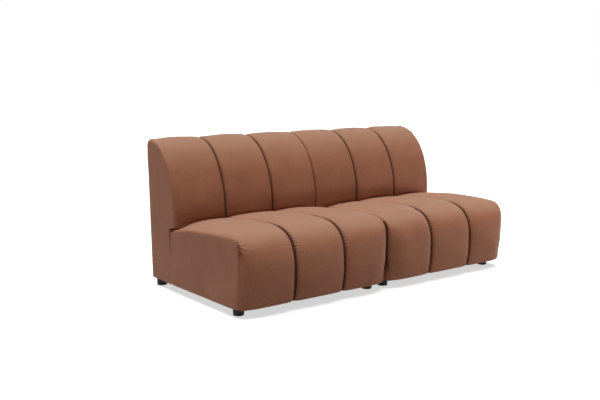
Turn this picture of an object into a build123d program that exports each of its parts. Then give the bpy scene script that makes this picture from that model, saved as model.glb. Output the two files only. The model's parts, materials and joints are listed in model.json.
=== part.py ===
"""Modular sofa: two identical armless modules that stand side by side and plug together.

Each module is a seat unit and a back unit, bolted together. Both are plywood frames with foam
and a cover sewn into three channels, and four short feet screw in from below.
Millimetres, +Z up, front towards -Y, origin on the floor under the middle of the sofa.
"""
from build123d import *
import math
import os
from collections import namedtuple

# Overall sizes
module_width = 896          # one module over its side panels
module_gap = 4              # between the two modules
overall_depth = 907         # front of the seat's crown to the top of the back's rear face
foot_height = 40            # floor to the underside of the base
channel_count = 3           # sewn channels across one module

# Seat unit, outer shape
seat_unit_depth = 678       # front of the crown to the plane where the back unit is bolted on
seat_height = 400           # crown, at the start of the rounded front
crease_fall = 45            # the crown is lower by this where it meets the back
top_arch = 7                # rise of the seat's top line over a straight one
nose_depth = 250            # crown, from the front to where the rounding starts
belly_height = 177          # height of the most forward point
seat_tuck = 44              # the crown's front edge turns in by this at the base
front_roundness = 2.9       # 2 is an ellipse, larger is squarer
seam_drop = 14              # seat seams lie this much below the crown
seam_set = 30               # and this much behind it on the front
seam_crease_drop = 10       # and this much below it at the crease
seam_tuck = 20              # less turn-in at the base than the crown has
edge_drop = 28              # the side edges lie this much below the crown
edge_set = 52               # and this much behind it on the front
edge_crease_drop = 43       # and this much below it at the crease
edge_nose_depth = 91        # rounding of the front, at the side edges
edge_belly_rise = 110       # most forward point, above that of the crown
edge_tuck = 49              # less turn-in at the base, so that the edge stands upright

# Back unit, outer shape
back_height = 774           # crown
back_lean = 28              # the rear face leans back by this from base to shoulder
shoulder_drop = 50          # the rear face starts to round over this much below the crown
back_crown_depth = 24       # the crown's top, in front of the rear face's shoulder
back_overhang = 64          # crown's fullest point, in front of the bolted plane
lumbar_rise = 19            # the fullest point lies this much above the crown's lower edge
back_seam_sink = 8          # back seams lie this deep between the crowns
back_edge_sink = 9          # side edges lie this deep below the crown
chin_room = 10              # between the seat's top line and the back's lower edge
chin_setback = 46           # lower edge of the back, in front of the bolted plane

# Swell of a channel: from nothing at its sides to full in its middle
channel_stations = (0, 0.05, 0.16, 0.32, 0.5, 0.68, 0.84, 0.95, 1)
seam_fullness = 3.0         # larger makes the crown flatter and the seam narrower
edge_fullness = 2.2         # the same, towards a module's side
edge_softness = 0.8         # 0.5 rounds over as at a seam, larger is gentler

# Cover and foam
cover_wall = 14             # wadded cover over the back's foam, at a seam
side_wall = 16              # cover and thin foam over the side panels
rear_wall = 6               # cover over the rear panel
foam_clearance = 0.3        # foam inside its cover
core_drop = 47              # the seat's foam lies this much below the crown
core_set = 50               # and this much behind it on the front
core_crease_drop = 60       # and this much below it at the crease
core_tuck = 24              # less turn-in at the base than the crown has
felt_thickness = 3
dust_cover_thickness = 1.5

# Frame
panel_thickness = 18        # plywood rails and gables
rail_top = 240              # upper edge of the seat's rails
rail_margin = 3             # front rail to the flange of the nut behind it
centre_rail_thickness = 22
centre_rail_height = 110
centre_rail_drop = 35       # below the seat's rails, clear of the springs
block_height = 45
front_block_size = 70
rear_block_width = 76
rear_block_depth = 62
gable_drop = 22             # the gable's top lies this much below the shoulder
gable_top_depth = 58        # front to rear along the gable's top
back_rail_thickness = 22
lower_rail_height = 90
middle_rail_base = 165
middle_rail_height = 70
top_rail_height = 50
rear_panel_thickness = 3

# Springs, webbing and felt
spring_count = 5
spring_bars = 15            # cross bars of one zigzag spring
spring_bar_length = 20      # straight part of a bar
spring_wire = 3.6
spring_spacing = 150
spring_lift = 4.5           # wire centre above the rails
clip_width = 18
clip_depth = 14
clip_height = 7.5
clip_clearance = 0.2
strap_count = 4
strap_width = 60
strap_thickness = 1.5

# Feet and fasteners
foot_top_diameter = 54
foot_base_diameter = 52
foot_edge = 2.5             # rounding of the foot's lower edge
foot_gap = 0.3              # foot to dust cover
stud_diameter = 8
stud_length = 44
stud_clearance = 0.1
front_foot_inset = 54       # centre, from the module's side
front_foot_setback = 138    # centre, behind the front of the crown
rear_foot_inset = 40        # centre, from the module's side
rear_foot_forward = 28      # centre, in front of the base's rear edge
nut_flange_diameter = 22
nut_flange_thickness = 1.5
nut_barrel_diameter = 10.4
nut_barrel_length = 14
nut_clearance = 0.1
screw_diameter = 4.5
screw_head_diameter = 9
screw_head_height = 3
screw_length = 50
screw_clearance = 0.05
screw_edge = 30             # screws stand this far in from a rail's edges
top_screw_edge = 12
bolt_diameter = 8
bolt_head_diameter = 16
bolt_head_height = 5
bolt_overhang = 9           # thread beyond the back unit's rail
bolt_spacing = 500
bolt_clearance = 0.25
joining_nut_width = 13
joining_nut_height = 6.5

# Plug-in link between the two modules
link_thickness = 2.5
tongue_width = 40
tongue_reach = 54           # tongue beyond its own module's side
tongue_seat = 52            # tongue plate under its own module
tongue_taper = 6
link_clearance = 0.4
socket_length = 52
socket_flange = 22
link_spread = 260           # between the front and the rear link
link_middle = -40           # middle of the two links, along Y
link_screw_length = 24
tongue_screw_spacing = 22

# Places worked out from the sizes
front_y = -overall_depth / 2
rear_y = overall_depth / 2
joint_y = front_y + seat_unit_depth
base_rear_y = rear_y - back_lean
half_width = module_width / 2
inner_half = half_width - side_wall
frame_base = foot_height + dust_cover_thickness
pitch = module_width + module_gap
crown_y = rear_y - back_crown_depth
shoulder_height = back_height - shoulder_drop
gable_top = shoulder_height - gable_drop
felt_base = rail_top + clip_height + foam_clearance
foam_base = felt_base + felt_thickness

SeatLine = namedtuple("SeatLine", "rear_z top_z nose_y front_y belly_z tuck_y")
BackLine = namedtuple("BackLine", "chin_y chin_z front_y top_z lumbar_z")

# Side outlines of the seat along a crown, a seam and a side edge
seat_crown = SeatLine(
    rear_z=seat_height - crease_fall,
    top_z=seat_height,
    nose_y=front_y + nose_depth,
    front_y=front_y,
    belly_z=belly_height,
    tuck_y=front_y + seat_tuck,
)
seat_seam = SeatLine(
    rear_z=seat_crown.rear_z - seam_crease_drop,
    top_z=seat_height - seam_drop,
    nose_y=seat_crown.nose_y,
    front_y=front_y + seam_set,
    belly_z=belly_height,
    tuck_y=front_y + seam_set + seat_tuck - seam_tuck,
)
seat_edge = SeatLine(
    rear_z=seat_crown.rear_z - edge_crease_drop,
    top_z=seat_height - edge_drop,
    nose_y=front_y + edge_set + edge_nose_depth,
    front_y=front_y + edge_set,
    belly_z=belly_height + edge_belly_rise,
    tuck_y=front_y + edge_set + seat_tuck - edge_tuck,
)
seat_core = SeatLine(
    rear_z=seat_crown.rear_z - core_crease_drop,
    top_z=seat_height - core_drop,
    nose_y=seat_crown.nose_y,
    front_y=front_y + core_set,
    belly_z=belly_height,
    tuck_y=front_y + core_set + seat_tuck - core_tuck,
)

# Side outlines of the back along a crown, a seam and a side edge
lumbar_height = seat_crown.rear_z + chin_room + lumbar_rise
chin_y = joint_y - chin_setback
back_crown = BackLine(
    chin_y=chin_y,
    chin_z=seat_crown.rear_z + chin_room,
    front_y=joint_y - back_overhang,
    top_z=back_height,
    lumbar_z=lumbar_height,
)
back_seam = BackLine(
    chin_y=chin_y,
    chin_z=seat_seam.rear_z + chin_room,
    front_y=back_crown.front_y + back_seam_sink,
    top_z=back_height - back_seam_sink,
    lumbar_z=lumbar_height,
)
back_edge = BackLine(
    chin_y=chin_y,
    chin_z=seat_edge.rear_z + chin_room,
    front_y=back_crown.front_y + back_edge_sink,
    top_z=back_height - back_edge_sink,
    lumbar_z=lumbar_height,
)
core_front_y = back_seam.front_y + cover_wall
back_core = BackLine(
    chin_y=(core_front_y + joint_y) / 2,
    chin_z=back_crown.chin_z + cover_wall,
    front_y=core_front_y,
    top_z=back_seam.top_z - cover_wall,
    lumbar_z=lumbar_height,
)


def mix(line_a, line_b, share):
    """The side outline that lies between two others."""
    return type(line_a)(*(a + (b - a) * share for a, b in zip(line_a, line_b)))


def rear_face_y(z):
    """The rear face leans evenly from the base to the shoulder."""
    return base_rear_y + back_lean * (z - foot_height) / (shoulder_height - foot_height)


def oval_arcs(centre, reach, rise, roundness=2.0, upwards=False):
    """Two arcs along a quarter of an oval, from its top to its side, or upwards the other way."""
    places = []
    for eighth in range(5):
        turn = math.radians(90 - 22.5 * eighth)
        along = reach * max(math.cos(turn), 0) ** (2 / roundness)
        places.append((centre[0] + along, centre[1] + rise * math.sin(turn) ** (2 / roundness)))
    places[0] = (centre[0], centre[1] + rise)
    places[4] = (centre[0] + reach, centre[1])
    if upwards:
        places.reverse()
    return [ThreePointArc(*places[0:3]), ThreePointArc(*places[2:5])]


def seat_face(line, x, base_z=foot_height, rear=joint_y, inset=0.0):
    """One side outline of the seat, as a face across the module at x."""
    rear_point = (rear, line.rear_z - inset)
    top_point = (line.nose_y, line.top_z - inset)
    middle = ((rear + line.nose_y) / 2, (line.rear_z + line.top_z) / 2 + top_arch - inset)
    front_point = (line.front_y + inset, line.belly_z)
    tuck_point = (line.tuck_y + inset, base_z)
    lower = (
        line.front_y + (line.tuck_y - line.front_y) / 4 + inset,
        (line.belly_z + base_z) / 2,
    )
    centre = (line.nose_y, line.belly_z)
    nose = oval_arcs(
        centre,
        front_point[0] - line.nose_y,
        top_point[1] - line.belly_z,
        front_roundness,
    )
    edges = [
        Line((rear, base_z), rear_point),
        ThreePointArc(rear_point, middle, top_point),
        *nose,
        ThreePointArc(front_point, lower, tuck_point),
        Line(tuck_point, (rear, base_z)),
    ]
    return Plane.YZ.offset(x) * make_face(edges)


def back_face(line, x, base_z=foot_height, front=joint_y, inset=0.0, rear_inset=0.0):
    """One side outline of the back, as a face across the module at x."""
    base_front = (front, base_z)
    base_rear = (rear_face_y(base_z) - rear_inset, base_z)
    under_chin = (front, line.chin_z + inset)
    chin = (line.chin_y + inset, line.chin_z + inset)
    fullest = (line.front_y + inset, line.lumbar_z)
    corner_share = 1 - math.sqrt(0.5)
    cheek = (
        fullest[0] + (chin[0] - fullest[0]) * corner_share,
        chin[1] + (fullest[1] - chin[1]) * corner_share,
    )
    top_z = line.top_z - inset
    shoulder = (rear_face_y(shoulder_height) - rear_inset, shoulder_height)
    rounding = oval_arcs(
        (crown_y, shoulder_height),
        shoulder[0] - crown_y,
        top_z - shoulder_height,
        upwards=True,
    )
    roll = oval_arcs((crown_y, line.lumbar_z), fullest[0] - crown_y, top_z - line.lumbar_z)
    edges = [
        Line(base_rear, shoulder),
        *rounding,
        *roll,
        ThreePointArc(fullest, cheek, chin),
        Line(chin, under_chin),
        Line(under_chin, base_front),
        Line(base_front, base_rear),
    ]
    return Plane.YZ.offset(x) * make_face(edges)


def swell(share, left_is_side, right_is_side):
    """How far a channel has swollen towards its crown, at a share of its width."""
    off_middle = abs(2 * share - 1)
    at_side = left_is_side if share < 0.5 else right_is_side
    if at_side:
        return (1 - off_middle**edge_fullness) ** edge_softness
    return math.sqrt(1 - off_middle**seam_fullness)


def channelled(face_at, crown, seam, edge):
    """Sewn channels side by side: each swells from its seams or side edge to its crown."""
    width = module_width / channel_count
    body = None
    for channel in range(channel_count):
        left_is_side = channel == 0
        right_is_side = channel == channel_count - 1
        left = edge if left_is_side else seam
        right = edge if right_is_side else seam
        faces = []
        for share in channel_stations:
            line = mix(mix(left, right, share), crown, swell(share, left_is_side, right_is_side))
            faces.append(face_at(line, -half_width + width * (channel + share)))
        swollen = loft(faces)
        body = swollen if body is None else body + swollen
    return body


def block(x_range, y_range, z_range):
    """A square-edged piece between two corners."""
    size = [high - low for low, high in (x_range, y_range, z_range)]
    middle = [(high + low) / 2 for low, high in (x_range, y_range, z_range)]
    return Pos(*middle) * Box(*size)


def across(face, half):
    """A side outline carried across the module, evenly to both sides."""
    return extrude(face, half, both=True)


def prism(points, x_low, x_high):
    """A panel cut to a side outline of straight edges."""
    face = Plane.YZ.offset(x_low) * make_face(Polyline(*points, close=True))
    return extrude(face, x_high - x_low, dir=(1, 0, 0))


def pin(start, direction, length, diameter):
    """A round bar from a point along a direction."""
    bar = Cylinder(diameter / 2, length, align=(Align.CENTER, Align.CENTER, Align.MIN))
    return Plane(origin=start, z_dir=direction) * bar


def screw(start, direction, length, clearance=0.0):
    """A countersunk wood screw whose head is flush at start, or the hole that it makes."""
    head = Cone(
        screw_head_diameter / 2 + clearance,
        screw_diameter / 2 + clearance,
        screw_head_height,
        align=(Align.CENTER, Align.CENTER, Align.MIN),
    )
    shank = Cylinder(
        screw_diameter / 2 + clearance,
        length + clearance,
        align=(Align.CENTER, Align.CENTER, Align.MIN),
    )
    return Plane(origin=start, z_dir=direction) * (head + shank)


# Feet: round, slightly tapered, with a threaded stud
front_foot_y = front_y + front_foot_setback
foot_places = {
    "front_left": (-half_width + front_foot_inset, front_foot_y),
    "front_right": (half_width - front_foot_inset, front_foot_y),
    "rear_left": (-half_width + rear_foot_inset, base_rear_y - rear_foot_forward),
    "rear_right": (half_width - rear_foot_inset, base_rear_y - rear_foot_forward),
}


def foot(place):
    body = Cone(
        foot_base_diameter / 2,
        foot_top_diameter / 2,
        foot_height - foot_gap,
        align=(Align.CENTER, Align.CENTER, Align.MIN),
    )
    body = fillet(body.edges().sort_by(Axis.Z)[0], foot_edge)
    stud = pin((0, 0, foot_height - foot_gap), (0, 0, 1), stud_length, stud_diameter)
    return Pos(place[0], place[1], 0) * (body + stud)


# Frame of the seat unit
front_rail_back = front_foot_y - nut_flange_diameter / 2 - rail_margin
front_rail_y = front_rail_back - panel_thickness
rear_rail_y = joint_y - panel_thickness
side_inner = inner_half - panel_thickness
rail_z = (frame_base, rail_top)

seat_front_rail = block((-inner_half, inner_half), (front_rail_y, front_rail_back), rail_z)
seat_rear_rail = block((-side_inner, side_inner), (rear_rail_y, joint_y), rail_z)
seat_side_rail_left = block((-inner_half, -side_inner), (front_rail_back, joint_y), rail_z)
seat_side_rail_right = block((side_inner, inner_half), (front_rail_back, joint_y), rail_z)
centre_top = rail_top - centre_rail_drop
seat_centre_rail = block(
    (-centre_rail_thickness / 2, centre_rail_thickness / 2),
    (front_rail_back, rear_rail_y),
    (centre_top - centre_rail_height, centre_top),
)

# Frame of the back unit
gable_inner = inner_half - panel_thickness
frame_rear = rear_wall + rear_panel_thickness
block_top = frame_base + block_height
rear_block_back = rear_face_y(frame_base) - frame_rear
rear_block_front = rear_block_back - rear_block_depth
slope_low = (joint_y, seat_edge.rear_z)
slope_high = (rear_face_y(gable_top) - frame_rear - gable_top_depth, gable_top)
slope_length = math.dist(slope_low, slope_high)
slope_dir = ((slope_high[0] - slope_low[0]) / slope_length, (slope_high[1] - slope_low[1]) / slope_length)
slope_out = (-slope_dir[1], slope_dir[0])
gable_outline = [
    (joint_y, frame_base),
    (rear_block_front, frame_base),
    (rear_block_front, block_top),
    (rear_face_y(block_top) - frame_rear, block_top),
    (rear_face_y(gable_top) - frame_rear, gable_top),
    slope_high,
    slope_low,
]
back_gable_left = prism(gable_outline, -inner_half, -gable_inner)
back_gable_right = prism(gable_outline, gable_inner, inner_half)

back_rail_x = (-gable_inner, gable_inner)
back_rail_y = (joint_y, joint_y + back_rail_thickness)
back_lower_rail = block(back_rail_x, back_rail_y, (frame_base, frame_base + lower_rail_height))
middle_rail_z = (middle_rail_base, middle_rail_base + middle_rail_height)
back_middle_rail = block(back_rail_x, back_rail_y, middle_rail_z)
top_rail_z = (gable_top - top_rail_height, gable_top)
top_rail_back = rear_face_y(top_rail_z[0]) - frame_rear
top_rail_y = (top_rail_back - back_rail_thickness, top_rail_back)
back_top_rail = block(back_rail_x, top_rail_y, top_rail_z)

rear_panel_outline = [
    (rear_face_y(frame_base) - frame_rear, frame_base),
    (rear_face_y(frame_base) - rear_wall, frame_base),
    (rear_face_y(gable_top) - rear_wall, gable_top),
    (rear_face_y(gable_top) - frame_rear, gable_top),
]
rear_panel = prism(rear_panel_outline, -inner_half, inner_half)

# Corner blocks with a stepped bore for a nut, one over each foot
bore_width = nut_barrel_diameter + 2 * nut_clearance
flange_room = nut_flange_diameter + 2 * nut_clearance


def corner_block(name, place):
    """A block in the frame's corner; its nut drops in from above."""
    sign = 1 if place[0] > 0 else -1
    if name.startswith("front"):
        outer, width = side_inner, front_block_size
        y_range = (front_rail_back, front_rail_back + front_block_size)
    else:
        outer, width = inner_half, rear_block_width
        y_range = (rear_block_front, rear_block_back)
    x_range = sorted((sign * outer, sign * (outer - width)))
    body = block(x_range, y_range, (frame_base, block_top))
    bore = pin((*place, frame_base), (0, 0, 1), block_height, bore_width)
    recess = pin((*place, block_top), (0, 0, -1), nut_flange_thickness, flange_room)
    return body - bore - recess


def flanged_nut(place):
    """A flanged nut, its flange level with the block's top and its barrel below."""
    flange = pin((*place, block_top), (0, 0, -1), nut_flange_thickness, nut_flange_diameter)
    barrel = pin((*place, block_top), (0, 0, -1), nut_barrel_length, nut_barrel_diameter)
    thread = pin(
        (*place, block_top),
        (0, 0, -1),
        nut_barrel_length,
        stud_diameter + 2 * stud_clearance,
    )
    return flange + barrel - thread


corner_blocks = [corner_block(name, place) for name, place in foot_places.items()]
t_nuts = [flanged_nut(place) for place in foot_places.values()]

# Zigzag springs across the seat, each held by a clip at both ends
spring_front = front_rail_y + panel_thickness / 2
spring_rear = joint_y - panel_thickness / 2
spring_z = rail_top + spring_lift
spring_places = [spring_spacing * (i - (spring_count - 1) / 2) for i in range(spring_count)]


def zigzag_spring(x):
    """Straight cross bars joined by half turns, in one level plane."""
    step = (spring_rear - spring_front) / (spring_bars - 1)
    reach = spring_bar_length / 2
    edges = []
    for bar in range(spring_bars):
        side = 1 if bar % 2 == 0 else -1
        y = spring_front + step * bar
        end = (x + side * reach, y, spring_z)
        edges.append(Line((x - side * reach, y, spring_z), end))
        if bar < spring_bars - 1:
            turned = (x + side * reach, y + step, spring_z)
            outmost = (x + side * (reach + step / 2), y + step / 2, spring_z)
            edges.append(ThreePointArc(end, outmost, turned))
    start = Plane(origin=(x - reach, spring_front, spring_z), z_dir=(1, 0, 0))
    return sweep(start * Circle(spring_wire / 2), path=Wire(edges))


def spring_clip(x, y):
    """A folded clip on the rail, with the wire's end in it."""
    body = block(
        (x - clip_width / 2, x + clip_width / 2),
        (y - clip_depth / 2, y + clip_depth / 2),
        (rail_top, rail_top + clip_height),
    )
    eye = pin(
        (x - clip_width / 2, y, spring_z),
        (1, 0, 0),
        clip_width,
        spring_wire + 2 * clip_clearance,
    )
    return body - eye


seat_springs = [zigzag_spring(x) for x in spring_places]
spring_clips = [spring_clip(x, y) for x in spring_places for y in (spring_front, spring_rear)]
felt_half = inner_half - foam_clearance
seat_felt = block((-felt_half, felt_half), (front_rail_y, joint_y), (felt_base, foam_base))

# Webbing across the gables' sloping front edges


def strap(number):
    share = (number + 0.5) / strap_count
    usable = slope_length - strap_width
    along = strap_width / 2 + usable * share
    place = (0, slope_low[0] + slope_dir[0] * along, slope_low[1] + slope_dir[1] * along)
    seat = Plane(origin=place, x_dir=(1, 0, 0), z_dir=(0, *slope_out))
    band = Box(
        2 * inner_half,
        strap_width,
        strap_thickness,
        align=(Align.CENTER, Align.CENTER, Align.MIN),
    )
    return seat * band


back_webbing = [strap(number) for number in range(strap_count)]

# Foam, cut from the space inside the covers
foam_half = inner_half - foam_clearance
seat_foam_body = across(seat_face(seat_core, 0, frame_base, joint_y, foam_clearance), foam_half)
everywhere = (-module_width, module_width)
seat_foam = seat_foam_body & block(everywhere, (front_y, joint_y), (foam_base, seat_height))
front_foam = seat_foam_body & block(everywhere, (front_y, front_rail_y), (frame_base, foam_base))

strap_room = strap_thickness + foam_clearance
foam_low = (slope_low[0] + slope_out[0] * strap_room, slope_low[1] + slope_out[1] * strap_room)
foam_high = (slope_high[0] + slope_out[0] * strap_room, gable_top + foam_clearance)
back_frame_zone = prism(
    [
        (joint_y - module_width, 0),
        (joint_y - module_width, slope_low[1]),
        foam_low,
        foam_high,
        (rear_y + rear_wall, foam_high[1]),
        (rear_y + rear_wall, 0),
    ],
    *everywhere,
)
back_foam_face = back_face(
    back_core,
    0,
    frame_base,
    joint_y,
    foam_clearance,
    rear_wall + foam_clearance,
)
back_foam_body = across(back_foam_face, foam_half)
back_foam = back_foam_body - back_frame_zone

# Covers: the channelled outer shape less the space for foam and frame
open_end = 1.0
seat_space = across(seat_face(seat_core, 0, foot_height - open_end, joint_y + open_end), inner_half)
seat_cover = channelled(seat_face, seat_crown, seat_seam, seat_edge) - seat_space
back_space_face = back_face(
    back_core,
    0,
    foot_height - open_end,
    joint_y - open_end,
    rear_inset=rear_wall,
)
back_cover = channelled(back_face, back_crown, back_seam, back_edge) - across(back_space_face, inner_half)

# Dust cover under the whole base
dust_half = inner_half - foam_clearance
dust_cover = block(
    (-dust_half, dust_half),
    (seat_core.tuck_y + foam_clearance, rear_face_y(foot_height) - rear_wall - foam_clearance),
    (foot_height, frame_base),
)

# Bolts through the seat's rear rail and the back's lower and middle rails
bolt_heights = (frame_base + lower_rail_height / 2, middle_rail_base + middle_rail_height / 2)
bolt_places = [(side * bolt_spacing / 2, z) for side in (-1, 1) for z in bolt_heights]
bolt_length = panel_thickness + back_rail_thickness + bolt_overhang


def joining_bolt(x, z):
    head = pin((x, rear_rail_y, z), (0, -1, 0), bolt_head_height, bolt_head_diameter)
    shank = pin((x, rear_rail_y, z), (0, 1, 0), bolt_length, bolt_diameter)
    return head + shank


def joining_nut(x, z):
    seat = Plane(origin=(x, joint_y + back_rail_thickness, z), z_dir=(0, 1, 0))
    outline = RegularPolygon(joining_nut_width / 2, 6, major_radius=False)
    nut = extrude(outline - Circle(bolt_diameter / 2 + bolt_clearance), joining_nut_height)
    return seat * nut


joining_bolts = [joining_bolt(*place) for place in bolt_places]
joining_bolts += [joining_nut(*place) for place in bolt_places]
bolt_holes = [
    pin((x, rear_rail_y, z), (0, 1, 0), bolt_length, bolt_diameter + 2 * bolt_clearance)
    for x, z in bolt_places
]

# Wood screws at the frame's corners
screw_starts = []
for sign in (-1, 1):
    side_x = sign * (inner_half - panel_thickness / 2)
    outer_x = sign * inner_half
    for z in (frame_base + block_height + screw_edge, rail_top - screw_edge):
        screw_starts.append(((side_x, front_rail_y, z), (0, 1, 0)))
        screw_starts.append(((outer_x, rear_rail_y + panel_thickness / 2, z), (-sign, 0, 0)))
    for low, high in ((frame_base, frame_base + lower_rail_height), middle_rail_z):
        place = (outer_x, joint_y + back_rail_thickness / 2, (low + high) / 2)
        screw_starts.append((place, (-sign, 0, 0)))
    top_middle = (top_rail_y[0] + top_rail_y[1]) / 2
    for z in (top_rail_z[0] + top_screw_edge, top_rail_z[1] - top_screw_edge):
        screw_starts.append(((outer_x, top_middle, z), (-sign, 0, 0)))

# Plug-in link: flat tongues under the left module, sockets under the right one
link_rail_x = inner_half - panel_thickness / 2
link_places = [link_middle - link_spread / 2, link_middle + link_spread / 2]
tongue_top = foot_height
tongue_z = (tongue_top - link_thickness, tongue_top)
socket_inner = tongue_width / 2 + link_clearance
pocket_base = foot_height - link_thickness - 2 * link_clearance


def link_tongue(y):
    """A flat plate screwed under the base, joggled down to run clear of the neighbour's base."""
    plate = block(
        (half_width - tongue_seat, half_width),
        (y - tongue_width / 2, y + tongue_width / 2),
        tongue_z,
    )
    lowered = (tongue_z[0] - link_clearance, tongue_z[1] - link_clearance)
    tongue = block(
        (half_width - tongue_taper, half_width + tongue_reach),
        (y - tongue_width / 2, y + tongue_width / 2),
        lowered,
    )
    tips = tongue.edges().filter_by(Axis.Z).group_by(Axis.X)[-1]
    return plate + chamfer(tips, tongue_taper)


def link_socket(y):
    """A strap that bridges the tongue, with a flange on either side."""
    x_range = (-half_width, -half_width + socket_length)
    outer = socket_inner + link_thickness
    bridge = block(x_range, (y - outer, y + outer), (pocket_base - link_thickness, foot_height))
    flanges = block(
        x_range,
        (y - outer - socket_flange, y + outer + socket_flange),
        (foot_height - link_thickness, foot_height),
    )
    pocket = block(x_range, (y - socket_inner, y + socket_inner), (pocket_base, foot_height))
    return bridge + flanges - pocket


link_tongues = [link_tongue(y) for y in link_places]
link_sockets = [link_socket(y) for y in link_places]
tongue_screws = [
    ((link_rail_x, y + side * tongue_screw_spacing / 2, tongue_z[0]), (0, 0, 1))
    for y in link_places
    for side in (-1, 1)
]
flange_middle = socket_inner + link_thickness + socket_flange / 2
socket_screws = [
    ((-link_rail_x, y + side * flange_middle, foot_height - link_thickness), (0, 0, 1))
    for y in link_places
    for side in (-1, 1)
]


def save(name, shape):
    """Write one piece, or one group of like pieces, to its own file."""
    solids = shape if isinstance(shape, list) else [shape]
    bodies = [solid for part in solids for solid in part.solids()]
    whole = bodies[0] if len(bodies) == 1 else Compound(bodies)
    export_step(whole, os.path.join("parts", name + ".step"))


def save_module(side, middle_x, links, link_name, link_screws):
    """Write every piece of one module, standing at middle_x."""
    holes = [screw(start, way, screw_length, screw_clearance) for start, way in screw_starts]
    link_holes = [screw(start, way, link_screw_length, screw_clearance) for start, way in link_screws]
    stud_holes = [
        pin((*place, foot_height), (0, 0, 1), dust_cover_thickness, bore_width)
        for place in foot_places.values()
    ]
    screws = [screw(start, way, screw_length) for start, way in screw_starts]
    screws += [screw(start, way, link_screw_length) for start, way in link_screws]
    pieces = {
        "seat_front_rail": seat_front_rail - holes,
        "seat_rear_rail": seat_rear_rail - holes - bolt_holes,
        "seat_side_rail_left": seat_side_rail_left - holes - link_holes,
        "seat_side_rail_right": seat_side_rail_right - holes - link_holes,
        "seat_centre_rail": seat_centre_rail,
        "corner_blocks": corner_blocks,
        "seat_springs": seat_springs,
        "spring_clips": spring_clips,
        "seat_felt": seat_felt,
        "seat_foam": seat_foam,
        "front_foam": front_foam,
        "seat_cover": seat_cover,
        "dust_cover": dust_cover - stud_holes - link_holes,
        "back_gable_left": back_gable_left - holes,
        "back_gable_right": back_gable_right - holes,
        "back_top_rail": back_top_rail - holes,
        "back_middle_rail": back_middle_rail - holes - bolt_holes,
        "back_lower_rail": back_lower_rail - holes - bolt_holes,
        "back_webbing": back_webbing,
        "back_foam": back_foam,
        "rear_panel": rear_panel,
        "back_cover": back_cover,
        "joining_bolts": joining_bolts,
        "t_nuts": t_nuts,
        "frame_screws": screws,
        link_name: [link - link_holes for link in links],
    }
    for name, place in foot_places.items():
        pieces["foot_" + name] = foot(place)
    stand = Pos(middle_x, 0, 0)
    for name, shape in pieces.items():
        parts = shape if isinstance(shape, list) else [shape]
        save(f"{side}_{name}", [stand * part for part in parts])


os.makedirs("parts", exist_ok=True)
save_module("left", -pitch / 2, link_tongues, "link_tongues", tongue_screws)
save_module("right", pitch / 2, link_sockets, "link_sockets", socket_screws)
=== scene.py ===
# %% [markdown]
# # A channelled sofa of two plug-together modules
# The frame brings every piece of the sofa at its real size: plywood, springs, foam, feet and the
# plain soft solids of the covers. This lesson dresses it. The covers are worked out as numpy
# surfaces around the same outlines, swollen by a short cloth simulation, and finished as soft
# matt leather. Nothing here moves or resizes a piece of the frame.

# %% Load the frame
import json
import math
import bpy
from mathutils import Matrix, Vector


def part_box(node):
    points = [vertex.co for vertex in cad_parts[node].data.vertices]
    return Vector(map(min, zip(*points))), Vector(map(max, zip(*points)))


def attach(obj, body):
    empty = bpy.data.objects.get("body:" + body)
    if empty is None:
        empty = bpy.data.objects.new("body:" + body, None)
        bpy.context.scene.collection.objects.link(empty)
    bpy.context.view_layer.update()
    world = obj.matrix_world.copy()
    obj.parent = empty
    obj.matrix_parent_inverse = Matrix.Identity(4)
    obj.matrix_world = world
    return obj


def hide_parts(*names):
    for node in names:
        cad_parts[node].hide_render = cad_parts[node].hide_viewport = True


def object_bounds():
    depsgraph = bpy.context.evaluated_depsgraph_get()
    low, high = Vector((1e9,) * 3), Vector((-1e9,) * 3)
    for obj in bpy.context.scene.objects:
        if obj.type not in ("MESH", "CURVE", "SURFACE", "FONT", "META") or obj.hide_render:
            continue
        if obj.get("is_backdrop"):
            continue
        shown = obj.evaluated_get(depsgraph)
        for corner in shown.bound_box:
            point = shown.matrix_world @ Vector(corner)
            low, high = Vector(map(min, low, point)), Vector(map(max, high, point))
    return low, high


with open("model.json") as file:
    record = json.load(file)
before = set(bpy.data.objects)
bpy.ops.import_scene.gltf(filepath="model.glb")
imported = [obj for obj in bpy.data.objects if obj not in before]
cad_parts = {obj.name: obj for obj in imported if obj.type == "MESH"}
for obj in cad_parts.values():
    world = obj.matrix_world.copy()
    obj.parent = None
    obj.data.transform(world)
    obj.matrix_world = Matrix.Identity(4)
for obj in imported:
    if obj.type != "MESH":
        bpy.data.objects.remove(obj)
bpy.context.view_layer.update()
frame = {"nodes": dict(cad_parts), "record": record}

from types import SimpleNamespace

import bpy
import numpy as np
from mathutils import Vector

nodes = frame["nodes"]


def placed(name, data):
    """A new object with this data, in the scene and at the origin."""
    made = bpy.data.objects.new(name, data)
    bpy.context.scene.collection.objects.link(made)
    return made


def rounded(lengths):
    """Lengths to a tenth of a millimetre, for printing."""
    return [round(float(length), 4) for length in lengths]


# %% [markdown]
# ## Camera
# The view comes first, because every later choice is judged through it. The sofa is seen from its
# front left, from a little above the back. Place, azimuth, pitch and focal length were fitted to
# the sewn seams and the outline, which makes the perspective of the render agree with that of the
# picture.

# %% Camera at the picture's place
IMAGE_WIDTH = 600
FOCAL_PIXELS = 819.5
SENSOR_WIDTH = 36.0
CAMERA_PLACE = (-2.831, -3.384, 1.093)
CAMERA_AZIMUTH = math.radians(37.355)
CAMERA_PITCH = math.radians(8.717)

camera_data = bpy.data.cameras.new("camera")
camera_data.sensor_width = SENSOR_WIDTH
camera_data.lens = FOCAL_PIXELS / IMAGE_WIDTH * SENSOR_WIDTH
camera = placed("camera", camera_data)
camera.location = CAMERA_PLACE
camera.rotation_euler = (math.pi / 2 - CAMERA_PITCH, 0, -CAMERA_AZIMUTH)
bpy.context.scene.camera = camera
print("lens", round(camera_data.lens, 2), "mm")

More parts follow.
